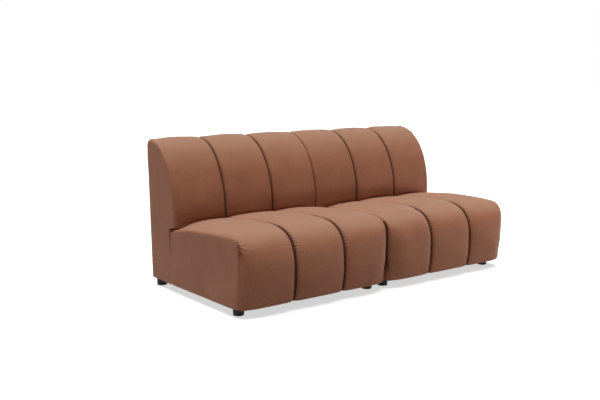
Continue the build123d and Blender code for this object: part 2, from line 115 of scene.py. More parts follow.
# %% [markdown]
# ## Outlines of a module
# A seat or a back is sewn from upright channels. Cut across the module at any place, its skin is a
# closed outline of a few lines and curves, and only some sizes of that outline change from a
# channel's crown to its seams and to the module's side edge. So three outlines describe the whole
# skin: crown, seam and edge. The lengths are metres and stay close to those of the solids, whose
# seat bulges a little past its outline in front and on top. Where seat and back meet, the seat
# presses slightly into the back, as padding does.

# %% Sizes of the skins
seat_low, seat_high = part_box("left_seat_cover")
back_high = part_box("left_back_cover")[1]
HALF_WIDTH = (seat_high.x - seat_low.x) / 2
BASE_Z = seat_low.z
SOLID_BULGE = 0.0032
FRONT_Y = seat_low.y + SOLID_BULGE
JOINT_Y = seat_high.y
SEAT_PRESS = 0.002
SEAT_REAR_Y = JOINT_Y + SEAT_PRESS
REAR_Y = back_high.y
SEAT_Z = seat_high.z - SOLID_BULGE
BACK_Z = back_high.z
CHANNELS = 3
CHANNEL_WIDTH = 2 * HALF_WIDTH / CHANNELS
MODULE_X = {"left": (seat_low.x + seat_high.x) / 2}
MODULE_X["right"] = -MODULE_X["left"]

BELLY_Z = 0.177
SEAT_ARCH = 0.012
NOSE_POWER = 2.9
CREASE_Z = SEAT_Z - 0.041
SEAT_CROWN = dict(rear_z=CREASE_Z, top_z=SEAT_Z, nose_y=FRONT_Y + 0.250, front_y=FRONT_Y,
                  belly_z=BELLY_Z, tuck_y=FRONT_Y + 0.036)
SEAT_SEAM = dict(rear_z=CREASE_Z - 0.010, top_z=SEAT_Z - 0.014, nose_y=FRONT_Y + 0.250,
                 front_y=FRONT_Y + 0.030, belly_z=BELLY_Z, tuck_y=FRONT_Y + 0.040)
SEAT_EDGE = dict(rear_z=CREASE_Z - 0.039, top_z=SEAT_Z - 0.029, nose_y=FRONT_Y + 0.143,
                 front_y=FRONT_Y + 0.049, belly_z=BELLY_Z + 0.110, tuck_y=FRONT_Y + 0.050)

SHOULDER_Z = BACK_Z - 0.045
SHOULDER_PUFF = 0.008
PUFF_REACH = 0.08
BACK_LEAN = 0.028
TOP_Y = REAR_Y - 0.024
CHIN_Y = JOINT_Y - 0.046
CHIN_ROOM = 0.010
LUMBAR_Z = CREASE_Z + CHIN_ROOM + 0.019
BULGE_Y = JOINT_Y - 0.064
BACK_CROWN = dict(chin_z=CREASE_Z + CHIN_ROOM, front_y=BULGE_Y, top_z=BACK_Z)
BACK_SEAM = dict(chin_z=CREASE_Z, front_y=BULGE_Y + 0.010, top_z=BACK_Z - 0.012)
BACK_EDGE = dict(chin_z=CREASE_Z - 0.027, front_y=BULGE_Y + 0.013, top_z=BACK_Z - 0.009)

SEAM_FULLNESS = 3.0
EDGE_FULLNESS = 2.2
EDGE_SOFTNESS = 0.8
CREASE_SOFTNESS = 2.0
print("channel width", round(CHANNEL_WIDTH, 4), "seat depth", round(JOINT_Y - FRONT_Y, 3))

# %% Stations across a module
STATIONS_PER_CHANNEL = 48
STATION_CROWDING = 0.85
CREASE_SIZES = ("rear_z", "chin_z")


def stations():
    """Channel and place in it for each station: a mix of even steps and half a cosine wave, so that
    stations crowd towards the seams."""
    even = np.linspace(0, 1, STATIONS_PER_CHANNEL + 1)
    crowded = (1 - np.cos(np.pi * even)) / 2
    share = (1 - STATION_CROWDING) * even + STATION_CROWDING * crowded
    channel = np.repeat(np.arange(CHANNELS), STATIONS_PER_CHANNEL)
    local = np.tile(share[:-1], CHANNELS)
    return np.append(channel, CHANNELS - 1), np.append(local, 1.0)


def swell(channel, local):
    """From 0 at a channel's sides to 1 at its crown.

    With t the distance from the middle, towards a seam it is the root of 1 - t^3, and towards the
    module's side edge (1 - t^2.2)^0.8, which leans in more gently.
    """
    off = np.abs(2 * local - 1)
    at_edge = ((channel == 0) & (local < 0.5)) | ((channel == CHANNELS - 1) & (local > 0.5))
    to_seam = np.sqrt(1 - off**SEAM_FULLNESS)
    to_edge = (1 - off**EDGE_FULLNESS) ** EDGE_SOFTNESS
    return np.where(at_edge, to_edge, to_seam)


def across(crown, seam, edge):
    """Places of the stations and each outline size there: edge or seam mixed into the crown by the
    swell, or by a power of it at the crease, where seat and back press each other flatter."""
    channel, local = stations()
    full = swell(channel, local)
    sizes = {}
    for size in crown:
        left = np.where(channel == 0, edge[size], seam[size])
        right = np.where(channel == CHANNELS - 1, edge[size], seam[size])
        side = left + (right - left) * local
        share = full**CREASE_SOFTNESS if size in CREASE_SIZES else full
        sizes[size] = (side + (crown[size] - side) * share)[:, None]
    return -HALF_WIDTH + CHANNEL_WIDTH * (channel + local), sizes


print("stations", len(stations()[0]))

# %% Outline of the seat
SEAT_STEPS = dict(rear=40, top=64, nose=224, lower=44, base=32)


def even_steps(count):
    """Shares from 0 up to, but not with, 1."""
    return np.arange(count) / count


def crowded_steps(count):
    """Shares from 0 to 1 crowded at both ends: half a cosine wave."""
    return (1 - np.cos(np.pi * even_steps(count))) / 2


def superellipse(angle, power):
    """A quarter of |a|^p + |b|^p = 1 by angle; its radius is (|cos|^p + |sin|^p)^(-1/p)."""
    radius = (np.abs(np.cos(angle)) ** power + np.abs(np.sin(angle)) ** power) ** (-1 / power)
    return radius * np.cos(angle), radius * np.sin(angle)


def joined(*runs):
    """The y and z of several runs, end to end."""
    return np.hstack([run[0] for run in runs]), np.hstack([run[1] for run in runs])


def seat_outline(s):
    """Side outline of the seat from its rear base: up, along the top, over the nose and under.

    The top is a shallow parabola, the nose a quarter superellipse, and below its fullest point the
    front is a parabola that tucks in to the base.
    """
    one = np.ones_like(s["top_z"])
    t = even_steps(SEAT_STEPS["rear"])
    rear = (SEAT_REAR_Y * one + 0 * t, BASE_Z + (s["rear_z"] - BASE_Z) * t)
    t = even_steps(SEAT_STEPS["top"])
    top = (
        SEAT_REAR_Y + (s["nose_y"] - SEAT_REAR_Y) * t,
        s["rear_z"] + (s["top_z"] - s["rear_z"]) * t + 4 * SEAT_ARCH * t * (1 - t),
    )
    ahead, up = superellipse(np.pi / 2 * (1 - even_steps(SEAT_STEPS["nose"])), NOSE_POWER)
    nose = (
        s["nose_y"] + (s["front_y"] - s["nose_y"]) * ahead,
        s["belly_z"] + (s["top_z"] - s["belly_z"]) * up,
    )
    t = even_steps(SEAT_STEPS["lower"])
    lower = (
        s["front_y"] + (s["tuck_y"] - s["front_y"]) * t**2,
        s["belly_z"] + (BASE_Z - s["belly_z"]) * t,
    )
    t = crowded_steps(SEAT_STEPS["base"])
    base = (s["tuck_y"] + (SEAT_REAR_Y - s["tuck_y"]) * t, BASE_Z * one + 0 * t)
    return joined(rear, top, nose, lower, base)


# %% Outline of the back
BACK_STEPS = dict(mating=56, lip=6, cheek=14, roll=132, rounding=28, rear=82, base=30)
REAR_CROWDING = 1.6


def rear_face(z):
    """The rear face leans back evenly from base to shoulder, and puffs a little at the shoulder by
    a bell curve e^(-(d / r)^2) of the distance below it."""
    below = SHOULDER_Z - z
    lean = BACK_LEAN * below / (SHOULDER_Z - BASE_Z)
    return REAR_Y - lean + SHOULDER_PUFF * np.exp(-((below / PUFF_REACH) ** 2))


def back_outline(s):
    """Side outline of the back from the front of its base: up the mating face, out under the chin,
    over the roll and down the rear.

    Cheek, roll and rounding are quarters of ellipses.
    """
    one = np.ones_like(s["top_z"])
    t = even_steps(BACK_STEPS["mating"])
    mating = (JOINT_Y * one + 0 * t, BASE_Z + (s["chin_z"] - BASE_Z) * t)
    t = even_steps(BACK_STEPS["lip"])
    lip = (JOINT_Y + (CHIN_Y - JOINT_Y) * t * one, s["chin_z"] + 0 * t)
    turn = np.pi / 2 * even_steps(BACK_STEPS["cheek"])
    cheek = (
        CHIN_Y + (s["front_y"] - CHIN_Y) * np.sin(turn),
        LUMBAR_Z - (LUMBAR_Z - s["chin_z"]) * np.cos(turn),
    )
    turn = np.pi / 2 * even_steps(BACK_STEPS["roll"])
    roll = (
        TOP_Y + (s["front_y"] - TOP_Y) * np.cos(turn),
        LUMBAR_Z + (s["top_z"] - LUMBAR_Z) * np.sin(turn),
    )
    turn = np.pi / 2 * even_steps(BACK_STEPS["rounding"])
    rounding = (
        TOP_Y + (rear_face(SHOULDER_Z) - TOP_Y) * np.sin(turn) * one,
        SHOULDER_Z + (s["top_z"] - SHOULDER_Z) * np.cos(turn),
    )
    t = even_steps(BACK_STEPS["rear"]) ** REAR_CROWDING
    down = SHOULDER_Z + (BASE_Z - SHOULDER_Z) * t
    rear = (rear_face(down) * one, down * one)
    t = crowded_steps(BACK_STEPS["base"])
    base_rear = rear_face(BASE_Z)
    base = ((base_rear + (JOINT_Y - base_rear) * t) * one, BASE_Z * one + 0 * t)
    return joined(mating, lip, cheek, roll, rounding, rear, base)


# %% Places along the outlines
def run_starts(steps):
    """Index at which each named run of an outline starts, and at which the outline ends."""
    places = np.cumsum([0, *steps.values()]).tolist()
    return SimpleNamespace(**dict(zip([*steps, "end"], places)))


def smooth_step(low, high, value):
    """0 below low, 1 above high and a smooth ramp between them."""
    t = np.clip((value - low) / (high - low), 0, 1)
    return t * t * (3 - 2 * t)


def span(run, start, end, fade):
    """1 between two places of an outline, fading to 0 over some points at both ends."""
    index = np.arange(run.end)
    return smooth_step(start, start + fade, index) * (1 - smooth_step(end - fade, end, index))


def along(run, *stops):
    """A value at every place of an outline, straight between (place, value) stops."""
    return np.interp(np.arange(run.end), *zip(*stops))


SEAT = run_starts(SEAT_STEPS)
BACK = run_starts(BACK_STEPS)
print("points round the seat", SEAT.end, "and round the back", BACK.end)

# %% [markdown]
# ## From outlines to a skin
# The outlines at all stations make one grid of points, closed round the outline. A real cover is
# sewn to smooth side panels over a padded edge, so the grid stops a little short of the module's
# side, and rings carry on from there: an arc round the edge, then the flat of the panel, shrinking
# towards a line in its middle. One flat face closes the last ring.

# %% Rounded edges
EDGE_BLEND = 0.11
CORNER_POINTS = 5
CORNER_ROUNDS = 12
TINY = 1e-12


def soften(y, z, corners):
    """Round corners: again and again, points near one move half way to their neighbours' mean."""
    count = y.shape[1]
    weight = np.zeros(count)
    for corner in corners:
        gap = np.abs((np.arange(count) - corner + count // 2) % count - count // 2)
        weight = np.maximum(weight, np.clip(1 - gap / (CORNER_POINTS + 1), 0, 1))
    for _ in range(CORNER_ROUNDS):
        for part in (y, z):
            mean = (np.roll(part, 1, axis=1) + np.roll(part, -1, axis=1)) / 2
            part += 0.5 * weight * (mean - part)
    return y, z


def edge_inset(depth, radius, lean):
    """How far a rounded edge lies inside the side plane, at a depth from where the arc begins.

    The arc of radius r begins where the skin already leans by an angle a, so the inset is
    r - sqrt(r^2 - (r cos a - depth)^2), which is r (1 - sin a) at its beginning.
    """
    inside = np.clip(radius * np.cos(lean) - depth, 0, None)
    return radius - np.sqrt(radius**2 - inside**2)


def skin_grid(x, y, z, radius, lean):
    """Stations across, outline round; towards the sides the edge's inset draws stations in."""
    near = smooth_step(HALF_WIDTH - EDGE_BLEND, HALF_WIDTH, np.abs(x))
    drawn = x[:, None] - (np.sign(x) * near)[:, None] * edge_inset(0.0, radius, lean)
    return np.stack([drawn, y, z], axis=2)


def normals(grid):
    """Outward directions of a grid closed along its second axis: the cross product of its tangents,
    turned away from its middle."""
    sideways = np.gradient(grid, axis=0)
    around = (np.roll(grid, -1, axis=1) - np.roll(grid, 1, axis=1)) / 2
    out = np.cross(around, sideways)
    out /= np.maximum(np.linalg.norm(out, axis=2, keepdims=True), TINY)
    away = grid - grid.mean(axis=(0, 1))
    return out * np.sign((out * away).sum())


# %% Side panels
PANEL_BULGE = 0.0006
INNER_BULGE = 0.0018
BULGE_SHARE = 0.4
RING_DEPTHS = np.array(
    [0.0003, 0.001, 0.0022, 0.004, 0.0065, 0.010, 0.014, 0.019, 0.025, 0.033, 0.045]
)
RING_SHARES = np.array([0.25, 0.5, 0.75])
SEAT_SPINE_Y = (FRONT_Y + 0.20, JOINT_Y - 0.14)
SEAT_SPINE_Z = 0.19
BACK_SPINE_Y = (0.315, 0.365)
BACK_SPINE_Z = (BASE_Z + 0.09, SHOULDER_Z - 0.06)


def side_rings(loop, spine, radius, lean, side, rise):
    """Rings of a side panel from its sewn edge towards a line in its middle, and how deep in each
    ring lies: the arc of the edge, then a panel that bulges slightly and ends flat."""
    plane = loop[:, 1:]
    inward = spine - plane
    reach = np.linalg.norm(inward, axis=1)
    near = RING_DEPTHS[:, None] / reach
    share = np.vstack([near, near[-1] + (1 - near[-1]) * RING_SHARES[:, None]])
    flat = plane + inward * share[..., None]
    depth = share * reach
    bulge = rise * smooth_step(0, BULGE_SHARE, share / share[-1])
    x = side * (HALF_WIDTH - edge_inset(depth, radius, lean) + bulge)
    return np.concatenate([x[..., None], flat], axis=2), depth


def seat_spine(loop):
    """Level line in the middle of the seat's side panel, under or over each point of the loop."""
    y = np.clip(loop[:, 1], *SEAT_SPINE_Y)
    return np.stack([y, np.full(len(loop), SEAT_SPINE_Z)], axis=1)


def back_spine(loop):
    """Leaning line in the middle of the back's side panel, level with each point of the loop."""
    level = np.clip(loop[:, 2], *BACK_SPINE_Z)
    return np.stack([np.interp(level, BACK_SPINE_Z, BACK_SPINE_Y), level], axis=1)


print("rings in a side panel", len(RING_DEPTHS) + len(RING_SHARES))

# %% [markdown]
# ## Swelling the covers
# Leather over wadding is tight at its seams and puffs between them. A cloth simulation finds that
# shape better than a formula: every second point of the grid becomes cloth, pinned along the seams,
# the side edges and wherever the cover wraps round the frame, and is blown up from inside. The
# seat's cloth is cut a little too large, so it also wrinkles. The movement is read from the last
# frame, capped, spread to the whole grid and applied there, so no simulation is left on a piece.

# %% Cloth between the seams
CLOTH_FRAMES = 20
CLOTH_SETTINGS = dict(
    quality=6, mass=0.3, tension_stiffness=25, compression_stiffness=25, shear_stiffness=10,
    bending_stiffness=1.5, air_damping=2.0, use_pressure=True, uniform_pressure_force=3.0,
)


def grid_faces(count_u, count_v):
    """Quads of a grid that is closed along its second axis."""
    number = np.arange(count_u * count_v).reshape(count_u, count_v)
    ahead = np.roll(number, -1, axis=1)
    return np.stack([number[:-1], ahead[:-1], ahead[1:], number[1:]], axis=2).reshape(-1, 4)


def simulated(points, faces, pinned, slack):
    """Places of the points after the cloth has been blown up for some frames with no gravity."""
    mesh = bpy.data.meshes.new("cloth")
    mesh.from_pydata(points.tolist(), [], faces.tolist())
    cloth = placed("cloth", mesh)
    pins = cloth.vertex_groups.new(name="pins")
    pins.add(np.flatnonzero(pinned).tolist(), 1.0, "REPLACE")
    modifier = cloth.modifiers.new("cloth", "CLOTH")
    settings = modifier.settings
    for setting, value in CLOTH_SETTINGS.items():
        setattr(settings, setting, value)
    settings.vertex_group_mass = "pins"
    settings.shrink_min = -slack
    settings.effector_weights.gravity = 0
    modifier.collision_settings.use_collision = False
    modifier.point_cache.frame_start = 1
    modifier.point_cache.frame_end = CLOTH_FRAMES
    for step in range(1, CLOTH_FRAMES + 1):
        bpy.context.scene.frame_set(step)
    result = cloth.evaluated_get(bpy.context.evaluated_depsgraph_get()).data
    moved = np.empty(len(points) * 3)
    result.vertices.foreach_get("co", moved)
    bpy.context.scene.frame_set(1)
    bpy.data.objects.remove(cloth)
    bpy.data.meshes.remove(mesh)
    return moved.reshape(-1, 3)


# %% Swelling from the cloth
CLOTH_STEP = 2
CLOTH_SLACK = {"seat": 0.0015, "back": 0.0}
SWELL_ROOM = 0.003
SWELL_CAP = 0.008
SINK_CAP = 0.001
GIVE_REACH = 0.03
SEAM_TOUCH = 1e-6


def seam_distance(x):
    """Distance across the module to the nearest channel seam."""
    seams = -HALF_WIDTH + CHANNEL_WIDTH * np.arange(1, CHANNELS)
    return np.abs(x[:, None] - seams).min(axis=1)


def spread(coarse, count_u, count_v):
    """Values of every second grid point carried to all of them: along each axis, a missing point is
    the mean of its two neighbours."""
    rows = np.empty((count_u, coarse.shape[1], 3))
    rows[::2] = coarse
    rows[1::2] = (coarse[:-1] + coarse[1:]) / 2
    full = np.empty((count_u, count_v, 3))
    full[:, ::2] = rows
    full[:, 1::2] = (rows + np.roll(rows, -1, axis=1)) / 2
    return full


def swelling(grid, x, free, slack):
    """How far the cover moves when blown up: nowhere along seams, edges and held stretches."""
    hold = np.minimum(seam_distance(x), HALF_WIDTH - np.abs(x))
    give = smooth_step(0, GIVE_REACH, hold)[:, None] * free
    start = grid - normals(grid) * (SWELL_ROOM * give)[..., None]
    small = start[::CLOTH_STEP, ::CLOTH_STEP]
    out = normals(small)
    still = (hold[::CLOTH_STEP, None] < SEAM_TOUCH) | (free[None, ::CLOTH_STEP] < 0.5)
    faces = grid_faces(*small.shape[:2])
    blown = simulated(small.reshape(-1, 3), faces, still.ravel(), slack).reshape(small.shape)
    rise = ((blown - small) * out).sum(axis=2)
    rise = np.clip(SWELL_CAP * np.tanh(rise / SWELL_CAP), -SINK_CAP, SWELL_CAP)
    return spread(out * rise[..., None], *grid.shape[:2]) + start - grid


# %% [markdown]
# ## Sewing
# Seams are drawn in along the surface's own direction: a narrow groove down each channel seam, a
# shallow one where the side panel is sewn on, and one across the rear below the shoulder. On the
# curved nose of the seat the leather is eased into the seams, which leaves rows of small pleats,
# and at the sofa's outer front corners it is folded in along the edge. Waves of many lengths keep
# the rest from being too even.

# %% Waves and gathers
PLEAT_ONSET = 5
PLEAT_SPACING = (0.7, 1.3)
PLEAT_SIZES = (0.25, 1.0)
VALLEY_POWER = 0.8
VALLEY_LEVEL = 1.2
UNEVEN_WAVES = 24


def run_length(row):
    """Length along an outline from its first point to each of its points."""
    return np.concatenate([[0], np.cumsum(np.linalg.norm(np.diff(row, axis=0), axis=1))])


def rolling(points, rng, lengths):
    """Soft unevenness of about unit size: a sum of plane waves of seeded directions, lengths and
    phases."""
    directions = rng.normal(size=(UNEVEN_WAVES, 3))
    directions /= np.linalg.norm(directions, axis=1, keepdims=True)
    numbers = 2 * np.pi / rng.uniform(*lengths, UNEVEN_WAVES)
    phases = rng.uniform(0, 2 * np.pi, UNEVEN_WAVES)
    waves = np.sin(points @ (directions * numbers[:, None]).T + phases)
    return waves.sum(axis=-1) / math.sqrt(UNEVEN_WAVES)


def gathers(length, rng, pitch):
    """Irregular small pleats along a seam: round folds between sharp valleys, 2 |sin|^0.8 - 1.2, of
    a phase that grows by about half a turn per pitch, and of a height that varies."""
    steps = int(length.max() / pitch) + 3
    knots = np.concatenate([[0], np.cumsum(rng.uniform(*PLEAT_SPACING, steps))])
    turns = np.interp(length / pitch, np.arange(steps + 1), knots)
    sizes = rng.uniform(*PLEAT_SIZES, steps + 1)
    height = np.interp(length / pitch, np.arange(steps + 1), sizes)
    return height * (2 * np.abs(np.sin(np.pi * turns)) ** VALLEY_POWER - VALLEY_LEVEL)


def beside(distance, reach):
    """Rises from nothing at a seam, then dies away over a reach: (1 - e^(-5 d / r)) e^(-d / r)."""
    t = np.clip(distance, 0, None) / reach
    return (1 - np.exp(-PLEAT_ONSET * t)) * np.exp(-t)


# %% Pleats, folds and grooves
GROOVE_WIDTH = 0.009
NOTCH_DEPTH = 0.004
NOTCH_WIDTH = 0.0045
PLEAT_PITCH = 0.0145
PLEAT_REACH = 0.013
CORNER_PITCH = 0.0135
CORNER_REACH = 0.024


def seam_pleats(x, grid, rng, weight):
    """Pleats on both sides of every channel seam, of about unit height."""
    total = np.zeros(grid.shape[:2])
    for number in range(1, CHANNELS):
        length = run_length(grid[number * STATIONS_PER_CHANNEL])
        here = x + HALF_WIDTH - CHANNEL_WIDTH * number
        for hand in (-1, 1):
            pleats = gathers(length, rng, PLEAT_PITCH)
            total += beside(hand * here, PLEAT_REACH)[:, None] * pleats * weight
    return total


def corner_folds(x, grid, rng, weight, inner):
    """Folds of about unit height that run in from the outer side edge."""
    total = np.zeros(grid.shape[:2])
    for row, hand in ((0, -1), (-1, 1)):
        near = np.exp(-(HALF_WIDTH - hand * x) / CORNER_REACH)[:, None]
        folds = gathers(run_length(grid[row]), rng, CORNER_PITCH)
        if hand != inner:
            total += near * folds * weight
    return total


def seam_depth(x, length, weights):
    """How deep the seams draw the skin in: grooves e^(-d / w), notches e^(-(d / w)^2)."""
    gap = seam_distance(x)[:, None]
    edge_gap = (HALF_WIDTH - np.abs(x))[:, None]
    groove = weights["groove"] * np.exp(-gap / GROOVE_WIDTH) * weights["seam"]
    notch = NOTCH_DEPTH * np.exp(-((edge_gap / NOTCH_WIDTH) ** 2)) * weights["notch"]
    if "cross" in weights:
        away = np.abs(length - length[weights["cross"]])
        notch = np.maximum(notch, NOTCH_DEPTH * np.exp(-((away / NOTCH_WIDTH) ** 2)))
    return groove + notch


# %% [markdown]
# The weights say where along an outline each of these happens; a place is a run's start and so many
# points on. Cloth is free between the places where the frame holds it. Pleats lie on the nose, and
# the corner's folds and the painted shade of its crease where the top turns into the front. The
# seat's rear is pressed lower near one edge. The dark marks are painted shade: the line along the
# seams, the gap between the modules, and the join, the valley between seat and back at the module's
# side, which is wide near the seat and closes towards the floor.

# %% Weights along the outlines
# Of these weights, line, crease, gap and join are painted shade: they darken the leather's colour
# in seams, creases, the gap between modules and the valley where seat meets back.
WEIGHTS = {
    "seat": dict(
        groove=0.009,
        seam_shade_width=0.0038,
        line=span(SEAT, SEAT.top, SEAT.base + 6, 6),
        free=span(SEAT, SEAT.top + 9, SEAT.base - 3, 3),
        seam=span(SEAT, SEAT.top, SEAT.base + 6, 6),
        notch=0.3 * span(SEAT, SEAT.top, SEAT.base + 6, 10)
        + 0.7 * span(SEAT, SEAT.nose + 60, SEAT.lower + 40, 40),
        pleat=0.1 * span(SEAT, SEAT.top, SEAT.base - 4, 4)
        + 0.9 * span(SEAT, SEAT.nose - 4, SEAT.nose + 190, 60),
        uneven=span(SEAT, SEAT.top, SEAT.base - 4, 4),
        pressed=along(SEAT, (0, 0), (SEAT.top, 1), (SEAT.nose, 0)),
        corner=span(SEAT, SEAT.nose + 10, SEAT.lower + 10, 50),
        crease=0.8 * span(SEAT, SEAT.nose + 80, SEAT.lower, 30),
        gap=span(SEAT, SEAT.nose + 80, SEAT.base + 4, 24),
        join=along(SEAT, (SEAT.top // 2, 0), (SEAT.top, 0.9), (SEAT.top + 4, 0)),
    ),
    "back": dict(
        groove=0.008,
        seam_shade_width=0.0055,
        line=along(BACK, (BACK.lip - 6, 0), (BACK.lip, 1), (BACK.rounding - 36, 1),
                   (BACK.rounding, 0.15), (BACK.rear, 0.4), (BACK.rear + 6, 0)),
        free=span(BACK, BACK.cheek + 3, BACK.rear - 3, 3),
        seam=span(BACK, BACK.lip, BACK.rear + 3, 6),
        notch=0.12 * span(BACK, BACK.lip, BACK.rear + 3, 8),
        pleat=0.12 * span(BACK, BACK.cheek, BACK.rear, 8),
        uneven=span(BACK, BACK.lip, BACK.base - 4, 4),
        pressed=along(BACK, (0, 0), (BACK.lip, 1), (BACK.cheek, 1), (BACK.cheek + 14, 0)),
        corner=0.2 * span(BACK, BACK.rounding - 50, BACK.rear, 16),
        crease=np.zeros(BACK.end),
        gap=np.zeros(BACK.end),
        join=along(BACK, (BACK.lip // 2, 0), (BACK.lip, 0.9), (BACK.cheek, 0)),
        cross=BACK.rear + 6,
    ),
}
EDGE_RADIUS = {
    "seat": along(SEAT, (0, 0.001), (SEAT.top // 2, 0.003), (SEAT.top - 1, 0.012),
                  (SEAT.top + 6, 0.026), (SEAT.nose + 120, 0.026), (SEAT.lower, 0.018),
                  (SEAT.base - 2, 0.042), (SEAT.base + 8, 0.008), (SEAT.end, 0.001)),
    "back": along(BACK, (0, 0.001), (BACK.lip // 2, 0.003), (BACK.lip - 1, 0.012),
                  (BACK.cheek + 6, 0.022), (BACK.rounding - 30, 0.010), (BACK.rounding + 8, 0.028),
                  (BACK.rear + 4, 0.028), (BACK.rear + 18, 0.010), (BACK.end, 0.001)),
}
EDGE_LEAN = {
    "seat": np.radians(along(SEAT, (SEAT.top, 0), (SEAT.top + 8, 48), (SEAT.lower + 20, 48),
                             (SEAT.base - 2, 20), (SEAT.base + 8, 0))),
    "back": np.radians(along(BACK, (BACK.lip, 0), (BACK.cheek + 6, 16), (BACK.rounding - 30, 16),
                             (BACK.rounding + 8, 35), (BACK.rear + 4, 35), (BACK.rear + 16, 0))),
}
print("seat points held by the frame", int((WEIGHTS["seat"]["free"] < 0.5).sum()))

# %% [markdown]
# ## Four covers
# A finished cover is the swollen grid, drawn in at its seams, with a side panel sewn to each end.
# Where the modules meet, the panels bulge until they nearly touch, and near the front painted shade
# makes them as dark as the gap between two cushions. One cloth result serves both modules, mirrored
# for the right one, and seeds of their own make the pleats of each cover differ.

# %% Plain skins
PRESSED_DEPTH = 0.016
PRESSED_REACH = 0.08
FORMS = {
    "seat": SimpleNamespace(
        sizes=(SEAT_CROWN, SEAT_SEAM, SEAT_EDGE), outline=seat_outline, spine=seat_spine,
        corners=(SEAT.rear, SEAT.top, SEAT.base),
    ),
    "back": SimpleNamespace(
        sizes=(BACK_CROWN, BACK_SEAM, BACK_EDGE), outline=back_outline, spine=back_spine,
        corners=(BACK.mating, BACK.lip, BACK.cheek, BACK.base),
    ),
}


def pressed_corner(x):
    """How much lower the rear of the seat lies near its left edge: h t e^(1 - t), with t the
    distance from that edge in parts of a reach."""
    t = (x + HALF_WIDTH) / PRESSED_REACH
    return PRESSED_DEPTH * t * np.exp(1 - t)


def plain_skin(kind):
    """Stations and grid of a skin before it swells and is sewn."""
    form = FORMS[kind]
    x, sizes = across(*form.sizes)
    y, z = soften(*form.outline(sizes), form.corners)
    z = z - pressed_corner(x)[:, None] * WEIGHTS[kind]["pressed"]
    return x, skin_grid(x, y, z, EDGE_RADIUS[kind], EDGE_LEAN[kind])


# %% Sewn skins
PLEAT_HEIGHT = 0.0050
CORNER_HEIGHT = 0.0022
UNEVEN_HEIGHT = 0.0009
FOLD_REACH = 0.012
# Painted shade: how dark pleat valleys are, and how far the painted shade of the outer crease, the
# seat-back join and the gap between modules reaches.
VALLEY_SHADE = 0.6
CREASE_SHADE_REACH = 0.005
JOIN_SHADE_REACH = 0.007
GAP_SHADE_DEPTHS = (0.02, 0.05)
COVER_LENGTHS = (0.08, 0.24)
HELD_UNEVEN = 0.3
PANEL_LENGTHS = (0.10, 0.26)
PANEL_CALM_EDGE = 0.05
PANEL_CALM_MIDDLE = (0.5, 1.0)


def side_panel(kind, loop, side, inner, lift, drawn, out, rng):
    """Rings of one side panel, which follow the folds and grooves of the edge they are sewn to, and
    the painted shade of each of their points in the gap, the crease and the join."""
    weights = WEIGHTS[kind]
    rise, height = (INNER_BULGE, 0.0) if side == inner else (PANEL_BULGE, UNEVEN_HEIGHT)
    spine = FORMS[kind].spine(loop)
    rings, depth = side_rings(loop, spine, EDGE_RADIUS[kind], EDGE_LEAN[kind], side, rise)
    follow = np.exp(-depth / FOLD_REACH) * lift - np.exp(-((depth / NOTCH_WIDTH) ** 2)) * drawn
    rings = rings + out * follow[..., None]
    calm = smooth_step(0, PANEL_CALM_EDGE, depth)
    calm = calm * (1 - smooth_step(*PANEL_CALM_MIDDLE, depth / depth[-1]))
    rings[..., 0] += side * height * calm * rolling(rings, rng, PANEL_LENGTHS)
    # Painted shade: the panel facing the other module is darkened near the front as the gap's
    # shade, the outer one along its crease, and both at the join with the back.
    if side == inner:
        dark = (1 - smooth_step(*GAP_SHADE_DEPTHS, depth)) * weights["gap"]
    else:
        dark = np.exp(-depth / CREASE_SHADE_REACH) * weights["crease"]
    return rings, np.maximum(dark, np.exp(-depth / JOIN_SHADE_REACH) * weights["join"])


def sewn_skin(kind, moved, mirror, seed):
    """Finished skin in its module's own frame, left panel, cover and right panel stacked as one
    grid, and the painted shade of each of its points in seams, pleat valleys and creases."""
    rng = np.random.default_rng(seed)
    weights = WEIGHTS[kind]
    inner = -1 if mirror else 1
    if mirror:
        moved = moved[::-1] * np.array([-1, 1, 1])
    x, plain = plain_skin(kind)
    grid = plain + moved
    out = normals(grid)
    drawn = seam_depth(x, run_length(plain[len(x) // 2]), weights)
    pleats = seam_pleats(x, plain, rng, weights["pleat"])
    folds = corner_folds(x, plain, rng, weights["corner"], inner)
    waves = rolling(grid, rng, COVER_LENGTHS) * np.maximum(weights["free"], HELD_UNEVEN)
    lift = PLEAT_HEIGHT * pleats + CORNER_HEIGHT * folds + UNEVEN_HEIGHT * waves * weights["uneven"]
    sewn = grid + out * (lift - drawn)[..., None]
    # Painted shade along the seams, in the pleats' valleys and along the outer front crease.
    painted_shade = np.exp(-seam_distance(x)[:, None] / weights["seam_shade_width"]) * weights["line"]
    painted_shade = np.maximum(painted_shade, VALLEY_SHADE * np.clip(-pleats, 0, 1))
    outer_gap = (HALF_WIDTH + inner * x)[:, None]
    painted_shade = np.maximum(painted_shade, np.exp(-outer_gap / CREASE_SHADE_REACH) * weights["crease"])
    (left, left_shade), (right, right_shade) = (
        side_panel(kind, plain[row], side, inner, lift[row], drawn[row], out[row], rng)
        for row, side in ((0, -1), (-1, 1))
    )
    painted_shades = np.concatenate([left_shade[::-1], painted_shade, right_shade])
    return np.concatenate([left[::-1], sewn, right]), painted_shades


# %% Skin to mesh
# Painted highlight: points that face up are marked for a paler colour, in place of the overhead
# lamp's sheen on the tops.
HIGHLIGHT_FROM_TO = (0.35, 0.95)


def signed_volume(mesh):
    """Volume from the divergence theorem: negative where the faces point inwards."""
    mesh.calc_loop_triangles()
    corner = np.empty(len(mesh.vertices) * 3)
    mesh.vertices.foreach_get("co", corner)
    index = np.empty(len(mesh.loop_triangles) * 3, dtype=np.int64)
    mesh.loop_triangles.foreach_get("vertices", index)
    a, b, c = corner.reshape(-1, 3)[index.reshape(-1, 3)].transpose(1, 0, 2)
    return float(np.einsum("ij,ij->", a, np.cross(b, c)) / 6)


